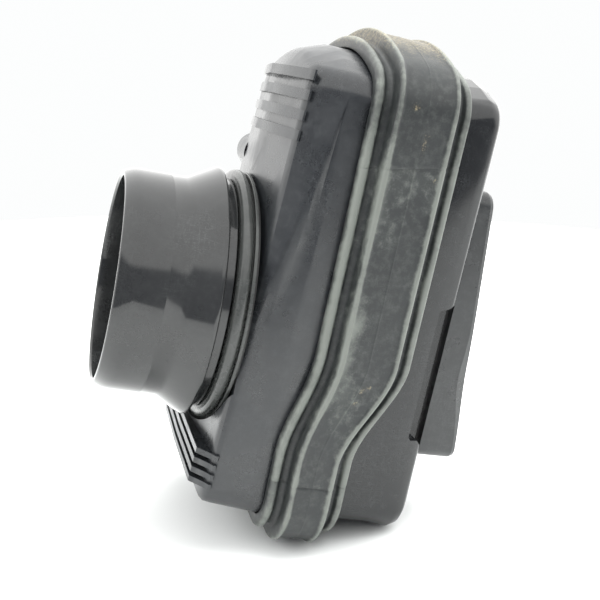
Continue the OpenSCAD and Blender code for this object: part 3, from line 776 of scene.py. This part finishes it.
@dataclass
class SealBand:
    """The stepped rubber band that grips both shells."""

    half: float = 37.5
    top: float = 83.6
    bottom: float = 61.0
    corner_r: float = 9.0
    crown_r: float = 60.0
    front_x: float = 60.2
    rear_x: float = 90.0
    joint_x: float = 75.0
    front_step: float = 6.0
    rear_step: float = 11.4
    joint_step: float = 8.6
    step_top: float = -5.0
    step_bottom: float = -38.0
    lip_h: float = 4.3
    groove_h: float = 2.9
    rib_h: float = 7.9
    panel_h: float = 7.15
    gap: float = 0.35
    flange_h: float = 2.8
    rounding: float = 0.45
    seam_z: tuple[float, float] = (53.2, -45.5)
    seam_depth: float = 0.28
    seam_lean: float = 0.19
    sag: float = 0.16
    crown_steps: int = 14
    corner_steps: int = 12
    side_steps: int = 110
    lower_steps: int = 14
    under_steps: int = 12
    seam_margin: float = 1.3
    seam_stations: tuple[float, ...] = (-0.9, -0.35, 0.0, 0.35, 0.9)
    dirt: list[tuple[float, float, float, float, float]] = field(default_factory=lambda: [
        (76.7, 60.5, 0.9, 4.2, 0.62),
        (76.4, -11.6, 0.9, 1.1, 0.75),
        (74.9, -14.4, 0.9, 2.2, 0.45),
        (73.4, -17.6, 0.7, 0.9, 0.5),
        (71.3, 70.0, 0.8, 0.8, 0.6),
        (81.8, 51.0, 1.6, 1.0, 0.3),
    ])

    def step_share(self, z: float) -> float:
        """Gives how much of the step is complete at a height: 0 above it and 1 below it."""
        t = min(max((self.step_top - z) / (self.step_top - self.step_bottom), 0.0), 1.0)
        return t * t * (3.0 - 2.0 * t)

    def section(self) -> list[SectionPoint]:
        """Gives the band's section, over the outside from front to rear and back inside."""
        lip = [(0.0, self.gap, 0.1), (0.0, self.lip_h - 1.2, 0.6), (0.7, self.lip_h, 1.0),
               (2.2, self.lip_h, 0.9), (2.9, self.groove_h + 0.3, 0.1),
               (3.4, self.groove_h, 0.0), (4.9, self.groove_h + 0.1, 0.0),
               (5.4, self.groove_h + 1.0, 0.1), (5.6, self.rib_h - 0.7, 0.5),
               (6.1, self.rib_h, 1.0), (6.9, self.rib_h, 1.0), (7.5, self.panel_h + 0.1, 0.2),
               (9.0, self.panel_h, 0.0), (11.0, self.panel_h, 0.0)]
        front = [SectionPoint(Anchor.FRONT, a, h, w) for a, h, w in lip]
        seam = [SectionPoint(Anchor.MIDDLE, a, self.panel_h + h, w)
                for a, h, w in ((-0.3, 0.0, 0.0), (0.0, 0.12, 0.2), (0.3, 0.0, 0.0))]
        rear = [SectionPoint(Anchor.REAR, -a, h, w) for a, h, w in reversed(lip)]
        channel = [SectionPoint(Anchor.JOINT, a, h)
                   for a, h in ((4.0, self.gap), (0.5, self.gap), (0.4, self.flange_h),
                                (-3.4, self.flange_h), (-3.5, self.gap), (-7.0, self.gap))]
        return front + seam + rear + channel

    def outline(self) -> list[OutlinePoint]:
        """Gives the stations once round the shells, starting at the middle of the top."""
        core = self.half - self.corner_r
        crown = [core * i / self.crown_steps for i in range(self.crown_steps + 1)]
        top = [OutlinePoint(y, self.top - self.corner_r - y * y / (2 * self.crown_r),
                            *unit(y / self.crown_r, 1.0)) for y in crown]
        tilt = math.atan2(top[-1].out_z, top[-1].out_y)
        upper = [OutlinePoint(core, top[-1].z, math.cos(a), math.sin(a))
                 for a in (tilt * (1 - i / self.corner_steps)
                           for i in range(1, self.corner_steps))]
        low = -self.bottom + self.corner_r
        heights = self.side_heights(top[-1].z, low)
        side = [OutlinePoint(core, z, 1.0, 0.0) for z in heights]
        lower = [OutlinePoint(core, low, math.cos(a), -math.sin(a))
                 for a in (math.pi / 2 * i / self.lower_steps
                           for i in range(1, self.lower_steps))]
        under = [OutlinePoint(core * (1 - i / self.under_steps), low, 0.0, -1.0)
                 for i in range(self.under_steps + 1)]
        right = top + upper + side + lower + under
        left = [OutlinePoint(-p.y, p.z, -p.out_y, p.out_z) for p in reversed(right[1:-1])]
        return right + left

    def side_heights(self, high: float, low: float) -> list[float]:
        """Gives station heights down the side, closer together at the cross seams."""
        plain = [high + (low - high) * i / self.side_steps for i in range(self.side_steps + 1)]
        kept = [z for z in plain if all(abs(z - s) > self.seam_margin for s in self.seam_z)]
        fine = [seam + step for seam in self.seam_z for step in self.seam_stations]
        return sorted(kept + fine, reverse=True)

    def anchor_x(self, anchor: Anchor, z: float) -> float:
        """Gives the place of an anchor line at a height."""
        share = self.step_share(z)
        front = self.front_x - self.front_step * share
        rear = self.rear_x - self.rear_step * share
        return {
            Anchor.FRONT: front,
            Anchor.REAR: rear,
            Anchor.MIDDLE: (front + rear) / 2,
            Anchor.JOINT: self.joint_x - self.joint_step * share,
        }[anchor]

    def rounded_section(self, z: float) -> list[tuple[float, float, float]]:
        """Gives the section at a height with its corners rounded: place, height and wear."""
        corners = [Vector((self.anchor_x(p.anchor, z) + p.along, p.height, p.wear))
                   for p in self.section()]
        result = []
        for i, corner in enumerate(corners):
            before, after = corners[i - 1], corners[(i + 1) % len(corners)]
            ends = []
            for other in (before, after):
                way = other - corner
                ends.append(corner + way * min(self.rounding / max(way.xy.length, 1e-6), 0.45))
            middle = (ends[0] + ends[1]) / 4 + corner / 2
            result += [tuple(ends[0]), tuple(middle), tuple(ends[1])]
        return result

    def build(self) -> None:
        """Lays the section round the shells and dresses it."""
        stations = self.outline()
        sections = [self.rounded_section(s.z) for s in stations]
        around, across = len(stations), len(sections[0])
        work = bmesh.new()
        bmesh.ops.create_grid(work, x_segments=around, y_segments=across, size=0.5)
        # This layer holds the rubbed crests and the painted reflection band.
        wear_and_reflection_layer = work.verts.layers.float.new("wear")
        dirt_layer = work.verts.layers.float.new("dirt")
        for vert in work.verts:
            i = round((vert.co.x + 0.5) * around) % around
            j = round((vert.co.y + 0.5) * across) % across
            x, height, wear = sections[i][j]
            vert.co, vert[wear_and_reflection_layer], vert[dirt_layer] = self.place(stations[i], x, height, wear)
        bmesh.ops.remove_doubles(work, verts=work.verts, dist=MERGE_DISTANCE)
        bmesh.ops.recalc_face_normals(work, faces=work.faces)
        finish_piece(work, "rubber_band", Slot.BAND, "front", ["seal_band"], crease=60.0)

    def place(
        self, station: OutlinePoint, x: float, height: float, wear: float
    ) -> tuple[Vector, float, float]:
        """Places one point of the band and works out its wear, a painted reflection band and its
        dirt.

        Args:
            station: Station round the shells.
            x: Place along X.
            height: Height above the shells.
            wear: How rubbed the section is there.

        Returns:
            The point in metres, its wear with a painted reflection band added, and its dirt.
        """
        y, z = station.at(self.corner_r + height)
        outside = height > self.groove_h - 0.5
        on_side = abs(station.out_y) > 0.99
        if outside:
            wave = noise.noise(Vector((x * 0.02, y * 0.03, z * 0.045)))
            cut = self.seam_depth * max(hump(z, s, 0.3) for s in self.seam_z) if on_side else 0.0
            slack = self.sag * (wave - 0.6) - cut
            y, z = station.at(self.corner_r + height + min(slack, 0.0))
        if on_side:
            z += self.seam_lean * (x - self.joint_x) * hump(z, self.seam_z[0], 5.0)
        near = y < -self.half
        dirty = max((strength * hump(x, dx, wide) * hump(z, dz, tall)
                     for dx, dz, wide, tall, strength in self.dirt), default=0.0)
        top_soil = 0.28 * hump(z, self.top + 6.0, 7.0)
        streak = 0.55 * hump(x - 0.03 * z, 69.0, 2.6) * hump(z, 5.0, 17.0)
        # Painted reflection: the band is painted lighter between its two cross seams, through the
        # wear colour, in place of the bright table's reflection.
        painted_reflection = 0.22 * (1.0 if self.seam_z[1] < z < self.seam_z[0] else 0.0)
        rubbed_and_reflection = min(wear + (streak if near and height > self.panel_h - 1 else 0.0) + painted_reflection, 1.2)
        return at_mm(x, y, z), rubbed_and_reflection, dirty * (1.0 if near else 0.0) + top_soil


def unit(y: float, z: float) -> tuple[float, float]:
    """Gives a direction in Y and Z with length 1."""
    length = math.hypot(y, z)
    return y / length, z / length


# ---------------------------------------------------------------- shells


@dataclass
class FrontShell:
    """The tapered front shell with its two combs of ribs."""

    edge_mm: float = 0.45
    front_x: float = 39.1
    lean: float = 0.0647
    edge_r: float = 3.5
    front_half: float = 35.5
    front_narrow: float = 4.5
    narrow_top: float = 72.0
    taper_end: float = 54.0
    rim_half: float = 37.5
    corner_top: float = 71.0
    corner_bottom: float = -52.0
    crease_mm: float = 1.0
    columns: int = 5
    rows: int = 14

    def build(self) -> None:
        """Evens the sides out in part, rounds the moulded edges and dresses the shell."""
        work = merged_copy("front_shell")
        self.even_sides(work)
        piece = finish_piece(work, "front_casing", Slot.SHELL, "front", ["front_shell"],
                             crease=32.0)
        soften_edges(piece, self.edge_mm, over=50.0)

    def edge_x(self, z: float) -> float:
        """Gives where the flat of the side starts at a height, behind the round edge."""
        return self.front_x + self.edge_r + self.lean * z

    def side_half(self, x: float, z: float) -> float:
        """Gives the even sheet's reach from the middle, which blends front edge and rim."""
        start = self.edge_x(z)
        share = min(max((x - start) / (self.taper_end - start), 0.0), 1.0)
        rise = min(max(z / self.narrow_top, 0.0), 1.0)
        front = self.front_half - self.front_narrow * rise
        return front + (self.rim_half - front) * share

    def on_flat_side(self, local: Vector) -> bool:
        """Says whether a point is on the side's flat stretch, near the even sheet."""
        inside = self.edge_x(local.z) - ON_FACE_MM < local.x < self.taper_end + ON_FACE_MM
        level = self.corner_bottom - ON_FACE_MM < local.z < self.corner_top + ON_FACE_MM
        away = abs(abs(local.y) - self.side_half(local.x, local.z))
        return inside and level and away < self.crease_mm

    def even_sides(self, work: bmesh.types.BMesh) -> None:
        """Cuts the outer side faces into a grid and lays the points near the sheet on it.

        Points further than crease_mm from the sheet stay, so part of the ridge is left.

        Args:
            work: The shell's mesh, changed in place.
        """
        lean_normal = Vector((1.0, 0.0, -self.lean)).normalized()
        span = self.taper_end - self.front_x - self.edge_r
        cuts = [(at_mm(self.front_x + self.edge_r + span * i / self.columns, 0, 0), lean_normal)
                for i in range(self.columns)]
        cuts.append((at_mm(self.taper_end, 0, 0), Vector((1, 0, 0))))
        tall = self.corner_top - self.corner_bottom
        cuts += [(at_mm(0, 0, self.corner_bottom + tall * i / self.rows), Vector((0, 0, 1)))
                 for i in range(self.rows + 1)]
        for place, normal in cuts:
            sides = [f for f in work.faces if self.is_outer_side(f)]
            geometry = list({v for f in sides for v in f.verts})
            geometry += list({e for f in sides for e in f.edges})
            bmesh.ops.bisect_plane(work, geom=geometry + sides, dist=MERGE_DISTANCE,
                                   plane_co=place, plane_no=normal)
        for vert in work.verts:
            local = from_mouth(vert.co)
            if self.on_flat_side(local):
                reach = math.copysign(self.side_half(local.x, local.z), local.y)
                vert.co = at_mm(local.x, reach, local.z)

    def is_outer_side(self, face: bmesh.types.BMFace) -> bool:
        """Says whether a face belongs to the outside of a side, front to taper end."""
        middle = from_mouth(face.calc_center_median())
        outward = face.normal.y * middle.y > 0 and abs(face.normal.y) > 0.9
        between = self.front_x < middle.x < self.taper_end + 0.5
        return outward and between and abs(middle.y) > self.front_half - self.front_narrow - 0.5


@dataclass
class RearShell:
    """The glossy rear shell with its side recesses."""

    edge_mm: float = 0.5

    def build(self) -> None:
        """Rounds the moulded edges and dresses the shell."""
        piece = finish_piece(merged_copy("rear_shell"), "rear_casing", Slot.REAR, "rear",
                             ["rear_shell"], crease=32.0)
        soften_edges(piece, self.edge_mm, over=50.0)


@dataclass
class InletCollar:
    """The flat-sided collar round the inlet, with its scalloped rim."""

    half: float = 30.0
    top: float = 50.0
    bottom: float = 38.0
    corner_r: float = 5.0
    rim_top_x: float = 109.0
    rim_top_z: float = 51.0
    rim_lean: float = 0.1
    step_z: float = 27.0
    bevel_w: float = 1.2
    scallop_w: float = 1.9
    scallop_z: float = -11.0
    scallop_spread: float = 11.0
    scallop_reach: float = 2.2
    scallop_cuts: int = 9
    bevel_rise: float = 0.45
    step_w: float = 0.35
    step_depth: float = 0.45
    step_len: float = 4.0
    edge_mm: float = 0.3

    def rim_x(self, z: float) -> float:
        """Gives the rim's place at a height."""
        return self.rim_top_x + self.rim_lean * (self.rim_top_z - z)

    def depth_and_way(self, y: float, z: float) -> tuple[float, float, float]:
        """Gives how far a point is inside the collar's outline and the way in from it."""
        mid = (self.top - self.bottom) / 2
        reach_y = abs(y) - (self.half - self.corner_r)
        reach_z = abs(z - mid) - ((self.top + self.bottom) / 2 - self.corner_r)
        side_y, side_z = math.copysign(1.0, y), math.copysign(1.0, z - mid)
        if reach_y > 0 and reach_z > 0:
            way_y, way_z = unit(reach_y, reach_z)
            return self.corner_r - math.hypot(reach_y, reach_z), -side_y * way_y, -side_z * way_z
        if reach_y > reach_z:
            return self.corner_r - reach_y, -side_y, 0.0
        return self.corner_r - reach_z, 0.0, -side_z

    def build(self) -> None:
        """Cuts the rim's scalloped bevel and the step line, and dresses the collar."""
        work = merged_copy("inlet_collar")
        lean_normal = Vector((1.0, 0.0, self.rim_lean)).normalized()
        inner_x = self.rim_x(0.0) - self.bevel_w - self.scallop_w - 0.1
        cuts = [(at_mm(inner_x, 0, 0), lean_normal)]
        count, reach = self.scallop_cuts, self.scallop_spread * self.scallop_reach
        heights = [self.scallop_z + reach * i / count for i in range(-count, count + 1)]
        heights += [self.step_z + self.step_w * i for i in (-1, 0, 1)]
        cuts += [(at_mm(0, 0, z), Vector((0, 0, 1))) for z in heights]
        for place, normal in cuts:
            geometry = work.verts[:] + work.edges[:] + work.faces[:]
            bmesh.ops.bisect_plane(work, geom=geometry, dist=MERGE_DISTANCE,
                                   plane_co=place, plane_no=normal)
        for vert in work.verts:
            local = from_mouth(vert.co)
            depth, way_y, way_z = self.depth_and_way(local.y, local.z)
            if abs(depth) <= ON_FACE_MM:
                vert.co = self.shaped(local, way_y, way_z, inner_x)
        piece = finish_piece(work, "duct_collar", Slot.COLLAR, "rear", ["inlet_collar"],
                             crease=30.0)
        soften_edges(piece, self.edge_mm, over=50.0)

    def shaped(self, local: Vector, way_y: float, way_z: float, inner_x: float) -> Vector:
        """Moves one point of the collar's outer face into the bevel or the step line.

        Args:
            local: The point, in millimetres from the mouth.
            way_y: Way into the collar, along Y.
            way_z: Way into the collar, along Z.
            inner_x: Place of the bevel's spare cut at the axis' height.

        Returns:
            The point's new place in metres.
        """
        rim = self.rim_x(local.z)
        width = self.bevel_w + self.scallop_w * hump(local.z, self.scallop_z, self.scallop_spread)
        spare = inner_x - self.rim_lean * local.z
        x, inward = local.x, 0.0
        if abs(local.x - rim) < ON_FACE_MM:
            inward = self.bevel_rise * width
        elif abs(local.x - spare) < ON_FACE_MM:
            x = rim - width
        elif abs(local.z - self.step_z) < 0.01 and local.x > self.rim_top_x - self.step_len:
            inward = self.step_depth
        return at_mm(x, local.y + inward * way_y, local.z + inward * way_z)


# ---------------------------------------------------------------- other pieces


@dataclass
class InnerPieces:
    """The filter element, seals, grid and fasteners, which keep their CAD shapes."""

    slots: dict[str, Slot] = field(default_factory=lambda: {
        "spigot_grommet": Slot.SEAL,
        "spigot_o_ring": Slot.SEAL,
        "collar_gasket": Slot.SEAL,
        "filter_gasket": Slot.SEAL,
        "spigot_snap_ring": Slot.STEEL,
        "grid_screws": Slot.STEEL,
        "collar_screws": Slot.STEEL,
        "mount_inserts": Slot.BRASS,
        "support_grid": Slot.GRID,
        "pleat_pack": Slot.PAPER,
        "pleat_beads": Slot.GLUE,
        "element_screen": Slot.SCREEN,
        "foam_prefilter": Slot.FOAM,
        "pull_tab": Slot.FRAME,
    })

    def build(self) -> None:
        """Gives each CAD node its finish, and rounds the frame and the plug."""
        for node, slot in self.slots.items():
            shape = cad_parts[node]
            shape.data.materials.clear()
            shape.data.materials.append(material_for(slot))
            LOG.info("%s: dressed as %s", node, slot.value)
        border = finish_piece(merged_copy("filter_frame"), "element_frame", Slot.FRAME,
                              "element", ["filter_frame"])
        soften_edges(border, 0.5)
        plug = finish_piece(merged_copy("drain_plug"), "rubber_drain_plug", Slot.SEAL,
                            "drain", ["drain_plug"])
        soften_edges(plug, 0.5)


# ---------------------------------------------------------------- studio


@dataclass(frozen=True)
class Softbox:
    """One soft light: its place, what it faces, its size and its power."""

    name: str
    place: tuple[float, float, float]
    towards: tuple[float, float, float]
    size: tuple[float, float]
    power: float


@dataclass
class Studio:
    """A light tent on a pale table, with the camera's side left dark."""

    table_normal: tuple[float, float, float] = (-0.213, 0.0, 0.977)
    table_radius: float = 0.6
    clearance: float = 0.0001
    table_white: Colour = (0.80, 0.815, 0.81)
    table_roughness: float = 0.55
    tent_strength: float = 1.9
    tent_white: Colour = (1.0, 1.0, 0.99)
    tent_dark: Colour = (0.19, 0.195, 0.215)
    dark_side: tuple[float, float] = (-0.20, -0.45)
    dark_height: tuple[float, float] = (0.50, 0.38)
    backdrop: Colour = (0.515, 0.52, 0.52)
    softboxes: tuple[Softbox, ...] = (
        Softbox("top_softbox", (0.05, 0.05, 0.75), (0.02, 0.0, 0.0), (0.8, 0.8), 11.0),
        Softbox("right_softbox", (0.75, 0.1, 0.35), (0.04, 0.0, 0.0), (0.5, 0.7), 4.0),
        Softbox("left_softbox", (-0.7, -0.15, 0.3), (0.0, 0.0, 0.0), (0.5, 0.6), 2.5),
    )

    def build(self) -> None:
        """Builds the table, the tent and the lights."""
        self._table()
        self._tent()
        for box in self.softboxes:
            self._light(box)

    def _table(self) -> None:
        """Lays the pale table under the band and the rear shell."""
        up = Vector(self.table_normal).normalized()
        lowest = min(up.dot(v.co) for node in ("seal_band", "rear_shell", "drain_plug")
                     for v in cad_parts[node].data.vertices)
        work = bmesh.new()
        bmesh.ops.create_circle(work, cap_ends=True, segments=128, radius=self.table_radius)
        turn = up.to_track_quat("Z", "Y").to_matrix().to_4x4()
        place = Matrix.Translation(up * (lowest - self.clearance)) @ turn
        bmesh.ops.transform(work, matrix=place, verts=work.verts)
        mesh = bpy.data.meshes.new("table")
        work.to_mesh(mesh)
        work.free()
        table = bpy.data.objects.new("table", mesh)
        bpy.context.scene.collection.objects.link(table)
        white = bpy.data.materials.new("table_white")
        white.use_nodes = True
        shader = white.node_tree.nodes["Principled BSDF"]
        shader.inputs["Base Color"].default_value = (*self.table_white, 1.0)
        shader.inputs["Roughness"].default_value = self.table_roughness
        table.data.materials.append(white)

    def _tent(self) -> None:
        """Makes the world a white tent that is dark towards -Y at eye level."""
        world = bpy.data.worlds.new("light_tent")
        bpy.context.scene.world = world
        world.use_nodes = True
        tree = world.node_tree
        background = tree.nodes["Background"]
        way = tree.nodes.new("ShaderNodeTexCoord").outputs["Generated"]
        split = tree.nodes.new("ShaderNodeSeparateXYZ")
        tree.links.new(way, split.inputs["Vector"])
        towards = ranged(tree, split.outputs["Y"], *self.dark_side)
        low_enough = ranged(tree, split.outputs["Z"], *self.dark_height)
        dark = maths(tree, "MULTIPLY", towards, low_enough)
        shade = blended(tree, dark, self.tent_white, self.tent_dark)
        seen = tree.nodes.new("ShaderNodeLightPath").outputs["Is Camera Ray"]
        tree.links.new(blended(tree, seen, shade, self.backdrop), background.inputs["Color"])
        background.inputs["Strength"].default_value = self.tent_strength

    @staticmethod
    def _light(box: Softbox) -> None:
        """Hangs one softbox."""
        light = bpy.data.lights.new(box.name, "AREA")
        light.shape = "RECTANGLE"
        light.size, light.size_y = box.size
        light.energy = box.power
        lamp = bpy.data.objects.new(box.name, light)
        lamp.visible_glossy = False
        lamp.location = box.place
        way = Vector(box.towards) - Vector(box.place)
        lamp.rotation_euler = way.to_track_quat("-Z", "Y").to_euler()
        bpy.context.scene.collection.objects.link(lamp)


@dataclass
class Camera:
    """The view from the near side, a little above and towards the spigot."""

    place: tuple[float, float, float] = (-0.0372, -0.2883, 0.0639)
    right: tuple[float, float, float] = (0.9465, -0.2480, 0.2063)
    above: tuple[float, float, float] = (-0.1426, 0.2507, 0.9574)
    lens: float = 55.5
    sensor: float = 36.0

    def build(self) -> None:
        """Places the camera and makes it the scene's."""
        data = bpy.data.cameras.new("camera")
        data.lens = self.lens
        data.sensor_width = self.sensor
        data.clip_start = 0.01
        view = bpy.data.objects.new("camera", data)
        side = Vector(self.right).normalized()
        up = Vector(self.above)
        up = (up - side * up.dot(side)).normalized()
        turn = Matrix((side, up, side.cross(up))).transposed().to_4x4()
        view.matrix_world = Matrix.Translation(self.place) @ turn
        bpy.context.scene.collection.objects.link(view)
        bpy.context.scene.camera = view


def main() -> None:
    """Builds the housing's visible pieces, the studio and the camera, in order."""
    logging.basicConfig(level=logging.INFO, format="%(name)s: %(message)s")
    Camera().build()
    for part in (HoseSpigot(), RetainingRing(), SealBand(), FrontShell(), RearShell(),
                 InletCollar(), InnerPieces(), Studio()):
        part.build()
    bpy.context.scene.view_settings.view_transform = "Standard"


if __name__ == "__main__":
    main()
